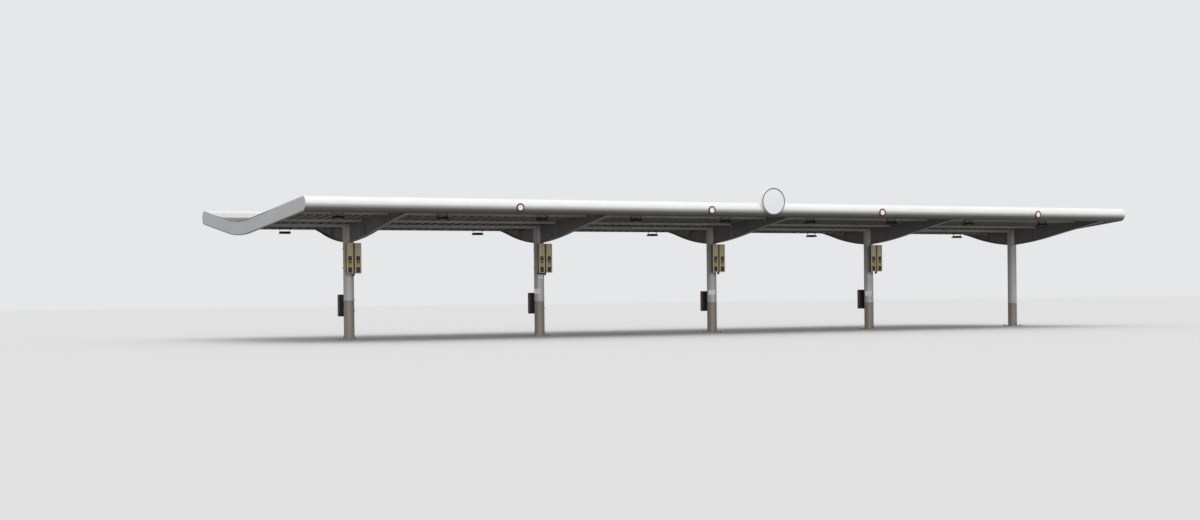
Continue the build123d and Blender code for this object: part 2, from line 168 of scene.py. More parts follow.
# Light: the sky's strength at the horizon and what it gains towards its top, and for each
# lamp its energy, its angle and the direction that it shines from
SKY_COLOUR = (0.965, 0.98, 1.0, 1)
SKY_STRENGTH = 0.30
SKY_GAIN = 0.65
BACKDROP_COLOUR = (0.79, 0.80, 0.81, 1)
LAMPS = {"overhead": (1.2, 1.0, (-0.1, -0.6, 1.0)), "front_light": (0.96, 0.5, (-0.30, -0.93, 0.21))}
FLOOR_HALF = 400.0


def srgb(r, g, b):
    """A colour given in 0 to 255 steps as linear light: ((c + 0.055) / 1.055) ** 2.4."""
    steps = np.array([r, g, b]) / 255
    linear = np.where(steps <= 0.04045, steps / 12.92, ((steps + 0.055) / 1.055) ** 2.4)
    return (*linear, 1.0)


# Frames: 3 x 4 arrays of a turn and a move

def place(x, y, z, turn_x=0.0, turn_z=0.0):
    """A turn about X, then about Z, then a move."""
    cx, sx, cz, sz = cos(turn_x), sin(turn_x), cos(turn_z), sin(turn_z)
    about_x = np.array([[1, 0, 0], [0, cx, -sx], [0, sx, cx]])
    about_z = np.array([[cz, -sz, 0], [sz, cz, 0], [0, 0, 1]])
    return np.column_stack([about_z @ about_x, (x, y, z)])


def compose(outer, inner):
    """The frame inner, given in the frame outer: R = R1 R2, and t = R1 t2 + t1."""
    return np.column_stack([outer[:, :3] @ inner[:, :3], outer[:, :3] @ inner[:, 3] + outer[:, 3]])


def facing(x, y, z, side=-1, lean=0.0):
    """Frame of an upright face: its own X runs along the face, Y is up and Z is outwards.

    side is -1 for a face to the front and 1 for one to the rear, and lean turns it in its own plane.
    """
    upright = place(x, y, z, pi / 2, 0.0 if side < 0 else pi)
    return compose(upright, place(0, 0, 0, 0, lean))


# Meshes: every shape is a list of points and a list of faces

def grid_faces(rows, columns, wrap_rows=False, wrap_columns=False):
    """Quads of a grid: (i, j), (i + 1, j), (i + 1, j + 1), (i, j + 1), with wrapping at an edge."""
    i, j = np.meshgrid(np.arange(rows if wrap_rows else rows - 1),
                       np.arange(columns if wrap_columns else columns - 1), indexing="ij")
    i, j = i.ravel(), j.ravel()
    i2, j2 = (i + 1) % rows, (j + 1) % columns
    return np.stack([i * columns + j, i2 * columns + j, i2 * columns + j2, i * columns + j2], axis=1)


def tube_faces(rings, sides):
    """Faces of a closed tube: a grid that wraps round its sides, and a cap at each end."""
    faces = grid_faces(rings, sides, wrap_columns=True).tolist()
    return faces + [list(range(sides)), list(range((rings - 1) * sides, rings * sides))]


def join(*shapes):
    """One shape out of several."""
    points, faces, start = [], [], 0
    for p, f in shapes:
        points.append(np.asarray(p, float).reshape(-1, 3))
        faces += [[start + int(i) for i in face] for face in f]
        start += len(points[-1])
    return np.vstack(points), faces


def repeat(shape, frames):
    """Copies of one shape, each at its own frame: rotation @ point + place."""
    points, faces = shape
    frames = np.asarray(frames, float)
    points = np.asarray(points, float)
    moved = np.einsum("nij,pj->npi", frames[:, :, :3], points) + frames[:, None, :, 3]
    shift = np.arange(len(frames)) * len(points)
    return moved.reshape(-1, 3), [(np.asarray(f) + s).tolist() for s in shift for f in faces]


BOX_BITS = np.array([[0, 0, 0], [1, 0, 0], [1, 1, 0], [0, 1, 0], [0, 0, 1], [1, 0, 1], [1, 1, 1], [0, 1, 1]])
BOX_FACES = np.array([(0, 3, 2, 1), (4, 5, 6, 7), (0, 1, 5, 4), (1, 2, 6, 5), (2, 3, 7, 6), (3, 0, 4, 7)])


def blocks(*rows):
    """Boxes between two corners (x, x, y, y, z, z) in any order: corner = low + bits * (high - low)."""
    ends = np.asarray(rows, float).reshape(-1, 3, 2)
    low, high = ends.min(axis=2), ends.max(axis=2)
    points = low[:, None] + BOX_BITS * (high - low)[:, None]
    faces = BOX_FACES + 8 * np.arange(len(ends))[:, None, None]
    return points.reshape(-1, 3), faces.reshape(-1, 4).tolist()


def slab(half_w, span, top, foot=-0.001):
    """A block on an upright face: half_w to both sides, over a span upwards, and out to top."""
    return blocks((-half_w, half_w, *span, foot, top))


# Marks a ring of a stack as a hexagon
HEX = True


def ring(radius, sides, hexagon):
    """Points of a circle, or of a hexagon of that corner radius: r cos(30) / cos(angle to the flat)."""
    angle = np.arange(sides) * 2 * pi / sides
    reach = np.full(sides, radius)
    if hexagon:
        to_flat = (angle + pi / 6) % (pi / 3) - pi / 6
        reach = radius * cos(pi / 6) / np.cos(to_flat)
    return np.column_stack([reach * np.cos(angle), reach * np.sin(angle)])


def stack(rings, sides=12):
    """A solid round the Z axis: rings (radius, height), or (radius, height, HEX), from bottom to top."""
    layers = [np.column_stack([ring(r, sides, bool(kind)), np.full(sides, z)]) for r, z, *kind in rings]
    return np.vstack(layers), tube_faces(len(rings), sides)


def turned(profile, sides=48):
    """A closed profile (radius, height) carried round the Z axis: (r cos a, r sin a, h)."""
    r, h = np.asarray(profile, float).T
    angle = np.arange(sides) * 2 * pi / sides
    x, y, z = np.outer(r, np.cos(angle)), np.outer(r, np.sin(angle)), np.outer(h, np.ones(sides))
    return np.stack([x, y, z], axis=2).reshape(-1, 3), grid_faces(len(r), sides, True, True).tolist()


def hoop(inner, outer, low, high, sides=48):
    """A ring of rectangular section round the Z axis."""
    return turned([(inner, low), (outer, low), (outer, high), (inner, high)], sides)


def rect_frame(half_x, half_y, profile):
    """A closed profile (inset, height) carried round a rectangle, mitred at its four corners."""
    inset, height = np.asarray(profile, float).T
    corners = np.array([(-1, -1), (1, -1), (1, 1), (-1, 1)])
    reach = np.stack([half_x - inset, half_y - inset], axis=1)
    heights = np.tile(height[None, :, None], (4, 1, 1))
    points = np.concatenate([corners[:, None] * reach[None], heights], axis=2)
    return points.reshape(-1, 3), grid_faces(4, len(profile), True, True).tolist()


def border(half_x, half_y, width, top, foot=-0.001):
    """A flat border along the edge of a rectangle on an upright face."""
    return rect_frame(half_x, half_y, [(0, foot), (0, top), (width, top), (width, foot)])


def shell(outer, inner):
    """A closed sheet between two point grids of one size: both faces and the rim that joins them."""
    rows, columns = outer.shape[:2]
    count = rows * columns
    near = grid_faces(rows, columns)
    index = np.arange(count).reshape(rows, columns)
    rim = np.concatenate([index[0, :-1], index[:-1, -1], index[-1, :0:-1], index[:0:-1, 0]])
    after = np.roll(rim, -1)
    sides = np.stack([rim, after, after + count, rim + count], axis=1)
    faces = np.concatenate([near, near[:, ::-1] + count, sides])
    return np.concatenate([outer.reshape(-1, 3), inner.reshape(-1, 3)]), faces.tolist()


def domed_pane(half_x, half_y, back, rise, edge=0.35, count=9):
    """A pane with a flat back and a domed face.

    z = back + rise (edge + (1 - edge) (1 - u^4) (1 - v^4)), for u and v from -1 to 1.
    """
    u, v = np.meshgrid(np.linspace(-1, 1, count), np.linspace(-1, 1, count), indexing="ij")
    dome = rise * edge + rise * (1 - edge) * (1 - u ** 4) * (1 - v ** 4)
    face = np.stack([u * half_x, v * half_y, back + dome], axis=2)
    flat = np.stack([u * half_x, v * half_y, np.full_like(u, back)], axis=2)
    return shell(face, flat)


def run_profile(section, ends):
    """A closed section (y, z) carried straight along X between two ends."""
    section = np.asarray(section, float)
    n = len(section)
    points = np.vstack([np.column_stack([np.full(n, x), section]) for x in ends])
    return points, tube_faces(2, n)


def bolt(head_r=0.011, head_h=0.009, washer_r=0.017, washer_t=0.002, sides=12):
    """A hexagon head with a chamfered top on a round washer."""
    return stack([(washer_r, 0), (washer_r, washer_t), (head_r, washer_t, HEX),
                  (head_r, washer_t + head_h * 0.85, HEX), (head_r * 0.86, washer_t + head_h)], sides)


def dome_head(radius=0.006, rise=0.003, sides=8):
    """A low round head: radius cos(t), rise sin(t), for t from 0 to 80 degrees."""
    return stack([(radius * cos(t), rise * sin(t)) for t in np.linspace(0, 1.4, 4)], sides)


def anchor():
    """A washer, a nut and the stud end above it."""
    return stack([(0.032, 0), (0.032, 0.005), (0.024, 0.005, HEX), (0.024, 0.025, HEX),
                  (0.021, 0.027), (0.0135, 0.027), (0.0135, 0.052), (0.0115, 0.055)])


def bead(path, radius, ripple=0.12, sides=6):
    """A weld along a path of points: a tube whose radius is r (1 + ripple sin(arc length / r))."""
    path = np.asarray(path, float)
    steps = np.linalg.norm(np.diff(path, axis=0), axis=1)
    length = np.concatenate([[0], np.cumsum(steps)])
    along = np.linspace(0, length[-1], max(3, int(length[-1] / (radius * 3))))
    centre = np.stack([np.interp(along, length, path[:, k]) for k in range(3)], axis=1)
    ahead = np.gradient(centre, axis=0)
    ahead /= np.linalg.norm(ahead, axis=1)[:, None]
    helper = np.where(np.abs(ahead[:, :1]) < 0.9, [[1.0, 0, 0]], [[0, 1.0, 0]])
    across = np.cross(ahead, helper)
    across /= np.linalg.norm(across, axis=1)[:, None]
    over = np.cross(ahead, across)
    angle = np.arange(sides) * 2 * pi / sides
    reach = radius * (1 + ripple * np.sin(along / radius))
    points = centre[:, None] + reach[:, None, None] * (
        np.cos(angle)[None, :, None] * across[:, None] + np.sin(angle)[None, :, None] * over[:, None])
    return points.reshape(-1, 3), tube_faces(len(centre), sides)


SMOOTH_ANGLE = 0.6


def add_object(name, data):
    """A new object at the origin of the scene."""
    thing = bpy.data.objects.new(name, data)
    bpy.context.scene.collection.objects.link(thing)
    return thing


def add_piece(name, shape, finish, smooth=False, bevel=0.0):
    """Makes a mesh piece with its faces turned outwards, rides it on the frame and gives it its finish."""
    points, faces = shape
    mesh = bpy.data.meshes.new(name)
    mesh.from_pydata(np.asarray(points, float).tolist(), [], faces)
    outwards = bmesh.new()
    outwards.from_mesh(mesh)
    bmesh.ops.recalc_face_normals(outwards, faces=outwards.faces)
    outwards.to_mesh(mesh)
    outwards.free()
    if smooth:
        mesh.shade_smooth()
        mesh.set_sharp_from_angle(angle=SMOOTH_ANGLE)
    mesh.materials.append(finish)
    piece = add_object(name, mesh)
    if bevel:
        edge = piece.modifiers.new("edge", "BEVEL")
        edge.width = bevel
        edge.segments = 2
        edge.limit_method = "ANGLE"
    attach(piece, BODY)


def add_steel(name, shape, smooth=False, bevel=0.0):
    """Makes a galvanised piece."""
    add_piece(name, shape, GALVANISED, smooth, bevel)


# Lines of the roof

def deck_z(side, y):
    """Underside of the sheeting: straight from the gutter's edge up to the eaves."""
    inner = DECK_INNER_Y[side]
    slope = (DECK_EAVES_Z - DECK_VALLEY_Z) / (EAVES_Y - side * inner)
    return DECK_VALLEY_Z + slope * (side * (y - inner))


def deck_tilt(side):
    """Turn about X that lays a piece on the sheeting."""
    return side * atan2(DECK_EAVES_Z - DECK_VALLEY_Z, EAVES_Y - side * DECK_INNER_Y[side])


def rib_lines():
    """X of the sheeting's low ribs: its length in equal parts of about RIB_PITCH."""
    left, right = DECK_ENDS
    count = round((right - left) / RIB_PITCH)
    pitch = (right - left) / count
    return [left + i * pitch for i in range(1, count)]


def purlin_bottom(side, distance):
    """Underside of a purlin, which touches the sheeting along its inner edge."""
    return deck_z(side, side * (distance - PURLIN_HALF_W)) - PURLIN_H


def middle_slope(side):
    """Angle of the roof band's middle line, from the nose's centre down to the valley."""
    return atan2(NOSE_Z - VALLEY_Z, NOSE_Y - side * VALLEY_Y)


def arc(y, z, radius, angle):
    """Points (y, z) of a circle at an array of angles: (y + r cos a, z + r sin a)."""
    return np.column_stack([y + radius * np.cos(angle), z + radius * np.sin(angle)])


def nose_line(side, proud, count=40):
    """Section of the bullnose skin, moved out by proud: a straight run, half a turn, a straight run."""
    tilt = middle_slope(side)
    nose = arc(-NOSE_Y, NOSE_Z, NOSE_R + proud, np.linspace(pi / 2 - tilt, 3 * pi / 2 - tilt, count))
    runs = [(y, z0 - tan(tilt) * (y - y0)) for y, (y0, z0) in ((-UPSTAND_Y, nose[0]), (-RETURN_Y, nose[-1]))]
    return np.vstack([runs[0], nose, runs[1]]) * (-side, 1)


def band_outline(proud):
    """Closed outline of the roof band: two noses, joined by straight runs and the valley's arcs."""
    front, rear = middle_slope(-1), middle_slope(1)
    tangent = VALLEY_ARC_R * tan((front + rear) / 2)
    centre_y = VALLEY_Y - tangent * cos(front) + VALLEY_ARC_R * sin(front)
    centre_z = VALLEY_Z + tangent * sin(front) + VALLEY_ARC_R * cos(front)
    sweep = np.linspace(-pi / 2 - front, -pi / 2 + rear, ARC_STEPS)
    half = NOSE_R + proud
    return np.vstack([
        arc(centre_y, centre_z, VALLEY_ARC_R + half, sweep),
        arc(NOSE_Y, NOSE_Z, half, np.linspace(-pi / 2 + rear, pi / 2 + rear, NOSE_STEPS)),
        arc(centre_y, centre_z, VALLEY_ARC_R - half, sweep[::-1]),
        arc(-NOSE_Y, NOSE_Z, half, np.linspace(pi / 2 - front, 3 * pi / 2 - front, NOSE_STEPS)),
    ])


def valley_middle():
    """Middle line of the roof band across the valley, as the mean of its lower and upper arcs."""
    outline = band_outline(0.0)
    start = ARC_STEPS + NOSE_STEPS
    lower, upper = outline[:ARC_STEPS], outline[start:start + ARC_STEPS][::-1]
    return (lower[:, 0] + upper[:, 0]) / 2, (lower[:, 1] + upper[:, 1]) / 2


# Shader nodes

def feed(tree, socket, value):
    """Links a socket to another one, or sets it to a number or a colour."""
    if isinstance(value, bpy.types.NodeSocket):
        tree.links.new(value, socket)
    else:
        socket.default_value = value


def math_node(tree, kind, *values):
    """A math node, fed by sockets or numbers."""
    node = tree.nodes.new("ShaderNodeMath")
    node.operation = kind
    for socket, value in zip(node.inputs, values):
        feed(tree, socket, value)
    return node.outputs[0]


def mix_node(tree, share, a, b):
    """A colour mix, fed by sockets or colours."""
    node = tree.nodes.new("ShaderNodeMix")
    node.data_type = "RGBA"
    for k, value in ((0, share), (6, a), (7, b)):
        feed(tree, node.inputs[k], value)
    return node.outputs[2]


def ramp(tree, source, low, high):
    """Maps a value from low..high to 0..1, clamped."""
    node = tree.nodes.new("ShaderNodeMapRange")
    for label, value in (("Value", source), ("From Min", low), ("From Max", high)):
        feed(tree, node.inputs[label], value)
    return node.outputs["Result"]


def noise(tree, scale, detail, stretch=(1, 1, 1)):
    """Noise on Object coordinates, with its own stretch along X, Y and Z."""
    coords = tree.nodes.new("ShaderNodeTexCoord")
    mapping = tree.nodes.new("ShaderNodeMapping")
    mapping.inputs["Scale"].default_value = stretch
    node = tree.nodes.new("ShaderNodeTexNoise")
    node.inputs["Scale"].default_value = scale
    node.inputs["Detail"].default_value = detail
    tree.links.new(coords.outputs["Object"], mapping.inputs["Vector"])
    tree.links.new(mapping.outputs["Vector"], node.inputs["Vector"])
    return node.outputs["Fac"]


def coordinate(tree, axis, kind="Object"):
    """One axis of the Object coordinates, in metres of the part's frame, or of another kind of them."""
    coords = tree.nodes.new("ShaderNodeTexCoord")
    split = tree.nodes.new("ShaderNodeSeparateXYZ")
    tree.links.new(coords.outputs[kind], split.inputs[0])
    return split.outputs[axis]


# Node groups: the effects that several finishes share

def new_group(name, inputs, outputs):
    """A shader node group. Its inputs have their default values, and a socket called Color is a colour."""
    group = bpy.data.node_groups.new(name, "ShaderNodeTree")
    for label, value in inputs.items():
        kind = "NodeSocketColor" if isinstance(value, tuple) else "NodeSocketFloat"
        group.interface.new_socket(label, in_out="INPUT", socket_type=kind).default_value = value
    for label in outputs:
        kind = "NodeSocketColor" if label == "Color" else "NodeSocketFloat"
        group.interface.new_socket(label, in_out="OUTPUT", socket_type=kind)
    return group, group.nodes.new("NodeGroupInput").outputs, group.nodes.new("NodeGroupOutput").inputs


# For each mark its noise, as scale, detail and stretch, and the noise values between which it shows
MARKS = {"Streaks": ((3.0, 5.0, (2.2, 2.2, 0.12)), 0.50, 0.78),
         "Blotches": ((0.9, 6.0), 0.42, 0.70),
         "Specks": ((38.0, 3.0), 0.62, 0.74)}
SPECKS = 0.08
MARKS_ROUGHEN = 0.5


def weathering_group():
    """Rain streaks, soft blotches and fine specks: colour darkened by a mask that also roughens it."""
    group, given, out = new_group(
        "weathering",
        {"Color": (0.5, 0.5, 0.5, 1), "Dirt": (0.1, 0.09, 0.08, 1), "Streaks": 0.2, "Blotches": 0.1,
         "Specks": 0.1, "Roughness": 0.4},
        ("Color", "Roughness"))
    streaks, blotches, specks = (
        math_node(group, "MULTIPLY", ramp(group, noise(group, *pattern), low, high), given[label])
        for label, (pattern, low, high) in MARKS.items())
    mask = math_node(group, "MAXIMUM", math_node(group, "MAXIMUM", streaks, blotches), specks)
    feed(group, out["Color"], mix_node(group, mask, given["Color"], given["Dirt"]))
    feed(group, out["Roughness"], math_node(group, "MULTIPLY_ADD", mask, MARKS_ROUGHEN, given["Roughness"]))
    return group


def sheet_wave_group():
    """Surface height of a coated metal sheet: slow unevenness and the fine grain of the paint."""
    group, given, out = new_group("sheet_wave", {"Wave": 0.6, "Grain": 0.15}, ("Height",))
    wave = math_node(group, "MULTIPLY", noise(group, 1.1, 1.0), given["Wave"])
    grain = math_node(group, "MULTIPLY", noise(group, 260.0, 2.0), given["Grain"])
    feed(group, out["Height"], math_node(group, "ADD", wave, grain))
    return group


WEATHERING = weathering_group()
SHEET_WAVE = sheet_wave_group()


def use_group(tree, group, **values):
    """Places a group in a material with its own values."""
    node = tree.nodes.new("ShaderNodeGroup")
    node.node_tree = group
    for label, value in values.items():
        feed(tree, node.inputs[label], value)
    return node.outputs


# Finishes

def new_finish(name, roughness, metallic=0.0, **sockets):
    """An empty material with its Principled BSDF, and plain values on its sockets."""
    finish = bpy.data.materials.new(name)
    finish.use_nodes = True
    shader = finish.node_tree.nodes["Principled BSDF"].inputs
    shader["Roughness"].default_value = roughness
    shader["Metallic"].default_value = metallic
    for label, value in sockets.items():
        shader[label.replace("_", " ")].default_value = value
    return finish, finish.node_tree, shader


PAINT_RELIEF = 0.004


def painted(name, colour, dirt, streaks, blotches, roughness, metallic=0.0,
            wave=0.3, grain=0.12, bump=0.25, **sockets):
    """Painted or coated metal: weathered colour, and the sheet's own unevenness as bump.

    colour is one colour, or a function that makes the nodes of several in the material.
    """
    finish, tree, shader = new_finish(name, roughness, metallic, **sockets)
    weather = use_group(tree, WEATHERING, Color=colour(tree) if callable(colour) else colour, Dirt=dirt,
                        Streaks=streaks, Blotches=blotches, Specks=SPECKS, Roughness=roughness)
    relief = tree.nodes.new("ShaderNodeBump")
    relief.inputs["Strength"].default_value = bump
    relief.inputs["Distance"].default_value = PAINT_RELIEF
    feed(tree, relief.inputs["Height"], use_group(tree, SHEET_WAVE, Wave=wave, Grain=grain)["Height"])
    feed(tree, shader["Base Color"], weather["Color"])
    feed(tree, shader["Roughness"], weather["Roughness"])
    feed(tree, shader["Normal"], relief.outputs["Normal"])
    return finish


def by_height(below, above, low, high, fall=0.0):
    """Two colours with a soft change between the heights low and high, which sink by fall along X."""
    def colour(tree):
        height = math_node(tree, "MULTIPLY_ADD", coordinate(tree, "X"), fall, coordinate(tree, "Z"))
        return mix_node(tree, ramp(tree, height, low, high), below, above)
    return colour


def painted_highlight_by_normal(upright, level):
    """Painted highlight: one colour on upright faces and another on level ones, by the size of the normal's
    Z.
    """
    def colour(tree):
        size = math_node(tree, "ABSOLUTE", coordinate(tree, "Z", "Normal"))
        return mix_node(tree, ramp(tree, size, 0.3, 0.6), upright, level)
    return colour


def painted_rib_shade(crest, recess):
    """Painted rib light and shade: one colour on the ribs' lower faces, another in their recesses and on what
    looks up.

    The height in a rib is Z less the higher of the two roof planes.
    """
    def colour(tree):
        y, z = coordinate(tree, "Y"), coordinate(tree, "Z")
        planes = [math_node(tree, "MULTIPLY_ADD", y, deck_z(side, 1.0) - deck_z(side, 0.0), deck_z(side, 0.0))
                  for side in (-1, 1)]
        height = math_node(tree, "SUBTRACT", z, math_node(tree, "MAXIMUM", *planes))
        in_recess = ramp(tree, height, 0.003, 0.012)
        looks_up = ramp(tree, coordinate(tree, "Z", "Normal"), -0.2, 0.2)
        return mix_node(tree, math_node(tree, "MAXIMUM", in_recess, looks_up), crest, recess)
    return colour


DIRT = srgb(60, 56, 50)
# Painted shade: the fascia's paint turns darker from the nose's middle down, on the half that faces the
# ground; the straps, lips, trims and rivets in it take this by their height too
FASCIA_WHITE = painted(
    "fascia_white", by_height(srgb(118, 117, 113), srgb(235, 235, 234), FASCIA_DARK_Z, FASCIA_BRIGHT_Z),
    srgb(158, 155, 148), 0.16, 0.08, 0.34, wave=0.8, grain=0.05, bump=0.15)
END_GREY = painted("end_grey", srgb(204, 206, 207), srgb(140, 137, 130), 0.22, 0.12, 0.4, wave=0.7, bump=0.2)
COLUMN_PAINT = painted(
    "column_paint", by_height(srgb(157, 148, 135), srgb(207, 207, 205), PAINT_BAND_Z - PAINT_BAND_BLUR,
                              PAINT_BAND_Z + PAINT_BAND_BLUR, BAND_FALL),
    srgb(92, 88, 82), 0.30, 0.14, 0.34)
# Painted highlight: the arms' paint is lighter on level faces, such as the flanges' undersides, and so are
# the purlin cleats in it
ARM_PAINT = painted("arm_paint", painted_highlight_by_normal(srgb(146, 143, 140), srgb(206, 203, 197)), DIRT, 0.10, 0.20, 0.52,
                    Specular_IOR_Level=0.35)
BEAM_PAINT = painted("beam_paint", srgb(228, 226, 220), DIRT, 0.08, 0.16, 0.52, Specular_IOR_Level=0.35)
# Painted light and shade: the coating is lighter on the ribs' lower faces and darker in their recesses
DECK_COATING = painted("deck_coating", painted_rib_shade(srgb(184, 179, 172), srgb(120, 117, 113)), DIRT,
                       0.08, 0.15, 0.50, Specular_IOR_Level=0.3)
GALVANISED = painted("galvanised", srgb(150, 153, 156), srgb(98, 98, 98), 0.15, 0.35, 0.40, metallic=0.75,
                     wave=0.1, grain=0.4)
LAMP_METAL = painted("lamp_metal", srgb(40, 40, 41), srgb(76, 73, 68), 0.1, 0.2, 0.45)
SIGNAL_CASE = painted("signal_case", srgb(230, 214, 178), srgb(104, 96, 78), 0.25, 0.15, 0.5, grain=0.3)
BLACK_CASE = painted("black_case", srgb(34, 34, 36), srgb(74, 70, 64), 0.15, 0.2, 0.42, grain=0.3)
DARK_RED = painted("dark_red", srgb(112, 30, 32), DIRT, 0.15, 0.15, 0.4)
BROWN_RED = painted("brown_red", srgb(84, 44, 36), DIRT, 0.12, 0.12, 0.45)
SIGN_WHITE = painted("sign_white", srgb(244, 245, 246), srgb(150, 148, 142), 0.12, 0.08, 0.26, wave=0.2,
                     grain=0.03, bump=0.1)
RIM_GREY = painted("rim_grey", srgb(112, 128, 128), DIRT, 0.1, 0.1, 0.35, wave=0.2)
RING_RED = painted("ring_red", srgb(104, 18, 27), DIRT, 0.08, 0.06, 0.3, wave=0.1)
PLATE_WHITE = painted("plate_white", srgb(246, 247, 248), srgb(140, 138, 132), 0.1, 0.15, 0.35, wave=0.3)
LABEL_YELLOW = painted("label_yellow", srgb(205, 182, 60), DIRT, 0.1, 0.15, 0.4)
WELD_GREY = painted("weld_grey", srgb(128, 126, 123), DIRT, 0.1, 0.25, 0.55, grain=0.8, bump=0.4)


def pane_glass(name, colour, roughness, film=0.25):
    """A pane with a faint film of dust, which pales and roughens it where the noise is high."""
    finish, tree, shader = new_finish(name, roughness, IOR=1.5)
    dust = ramp(tree, noise(tree, 6.0, 5.0), 0.35, 0.75)
    share = math_node(tree, "MULTIPLY", dust, film)
    feed(tree, shader["Base Color"], mix_node(tree, share, colour, srgb(150, 148, 142)))
    feed(tree, shader["Roughness"], math_node(tree, "MULTIPLY_ADD", dust, film, roughness))
    return finish


LAMP_GLASS = pane_glass("lamp_glass", srgb(176, 182, 186), 0.08)
GREEN_GLASS = pane_glass("green_glass", srgb(52, 92, 66), 0.10)

FINISHES = {
    "column": COLUMN_PAINT, "front_arm": ARM_PAINT, "rear_arm": ARM_PAINT, "spine_beam": BEAM_PAINT,
    "front_purlins": BEAM_PAINT, "rear_purlins": BEAM_PAINT, "front_eaves_beam": BEAM_PAINT,
    "rear_eaves_beam": BEAM_PAINT, "front_nose_formers": GALVANISED, "rear_nose_formers": GALVANISED,
    "front_deck": DECK_COATING, "rear_deck": DECK_COATING, "valley_gutter": GALVANISED,
    "front_fascia": FASCIA_WHITE, "rear_fascia": FASCIA_WHITE, "left_end_fascia": END_GREY,
    "right_end_fascia": END_GREY, "front_floodlights": LAMP_METAL, "rear_floodlights": LAMP_METAL,
    "valley_floodlights": LAMP_METAL, "lane_signal": SIGNAL_CASE, "service_box": BLACK_CASE,
    "round_sign": SIGN_WHITE,
}


def finish_nodes():
    """Gives every solid its finish, by its name without the number."""
    for name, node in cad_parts.items():
        node.data.materials.clear()
        node.data.materials.append(FINISHES[name.rstrip("0123456789").rstrip("_")])


# Steelwork fixings

def column_feet():
    """Four anchor nuts on each base plate, and the weld round the foot of the tube in four arcs."""
    corners = [(sx * ANCHOR_HALF, sy * ANCHOR_HALF) for sx in (-1, 1) for sy in (-1, 1)]
    nuts = [place(x + dx, dy, BASE_T) for x in COLUMN_X for dx, dy in corners]
    add_steel("anchor_nuts", repeat(anchor(), nuts))
    break_angle, bead_z = 0.045, BASE_T + 0.002
    quarter = np.linspace(break_angle, pi / 2 - break_angle, 12)
    path = np.column_stack([arc(0, 0, COLUMN_R, quarter), np.full(len(quarter), bead_z)])
    turns = [place(x, 0, 0, 0, k * pi / 2) for x in COLUMN_X for k in range(4)]
    add_piece("foot_welds", repeat(bead(path, WELD_R), turns), WELD_GREY, smooth=True)


def arm_details():
    """Bolts of each tip plate into the eaves beam, and the welds of web and flange to the column."""
    spots = [(dx, EAVES_BEAM_Z + dz) for dx in (-0.06, 0.06) for dz in (0.028, 0.072)]
    across = np.linspace(-1, 1, 14) * FLANGE_HALF_W
    reach = np.sqrt(COLUMN_R ** 2 - across ** 2)
    bolts, welds = [], []
    for side in (-1, 1):
        inward = place(0, side * TIP_PLATE_Y, 0, side * pi / 2)
        for x in COLUMN_X:
            bolts += [compose(place(x + dx, 0, z), inward) for dx, z in spots]
            y = side * (COLUMN_R + 0.001)
            for dx in (-WEB_HALF_T, WEB_HALF_T):
                welds.append(bead([(x + dx, y, WEB_FOOT_Z), (x + dx, y, COLUMN_TOP)], WELD_R))
            for z in FLANGE_WELDS_Z:
                path = np.column_stack([x + across, side * (reach + 0.002), np.full(len(across), z)])
                welds.append(bead(path, FLANGE_WELD_R))
    add_steel("tip_bolts", repeat(bolt(), bolts))
    add_piece("arm_welds", join(*welds), WELD_GREY, smooth=True)


def purlin_cleats():
    """Angle cleats with two bolts that hold each purlin to each arm's web."""
    margin, thick, short_leg, long_leg = 0.012, 0.006, 0.045, 0.085
    plates, bolts = [], []
    for side in (-1, 1):
        for distance in PURLIN_LINES:
            low = purlin_bottom(side, distance) + margin
            high = low + PURLIN_H - 2 * margin
            y = side * distance - PURLIN_WEB_HALF_T
            for x in COLUMN_X:
                for hand in (-1, 1):
                    web = x + hand * WEB_HALF_T
                    plates.append((web, web + hand * thick, y - short_leg, y, low, high))
                    plates.append((web, web + hand * long_leg, y - thick, y, low, high))
                    for along in (0.035, 0.065):
                        bolts.append(place(web + hand * along, y - thick, (low + high) / 2, pi / 2))
    # The cleats' level faces take the arms' painted highlight
    add_piece("purlin_cleats", blocks(*plates), ARM_PAINT, bevel=0.001)
    add_steel("cleat_bolts", repeat(bolt(0.009, 0.007, 0.013, 0.002), bolts))


def spine_splices():
    """Bolted plates on both sides of the spine beam in the middle of each bay."""
    half_l, thick = 0.21, 0.008
    low, high = COLUMN_TOP + 0.012, COLUMN_TOP + 0.1
    plates, bolts = [], []
    for x in (a + BAY / 2 for a in COLUMN_X[:-1]):
        for side in (-1, 1):
            face = side * SPINE_HALF_W
            plates.append((x - half_l, x + half_l, face, face + side * thick, low, high))
            for dx in (-0.17, -0.1, -0.03, 0.03, 0.1, 0.17):
                bolts.append(facing(x + dx, face + side * thick, (low + high) / 2, side))
    add_piece("spine_splices", blocks(*plates), BEAM_PAINT, bevel=0.0015)
    add_steel("splice_bolts", repeat(bolt(), bolts))


# Roof fixings

def deck_screws():
    """Screws with washers in the sheeting's low ribs, over the purlins, the spine and both edges."""
    frames = []
    for side in (-1, 1):
        rows = [side * (UPSTAND_Y - 0.1), DECK_INNER_Y[side] + side * 0.05]
        rows += [side * distance for distance in PURLIN_LINES]
        if side < 0:
            rows.append(0.0)
        for y in rows:
            frames += [place(x, y, deck_z(side, y) + DECK_T, deck_tilt(side)) for x in rib_lines()]
    add_steel("deck_screws", repeat(bolt(0.007, 0.006, 0.013, 0.002, 6), frames))


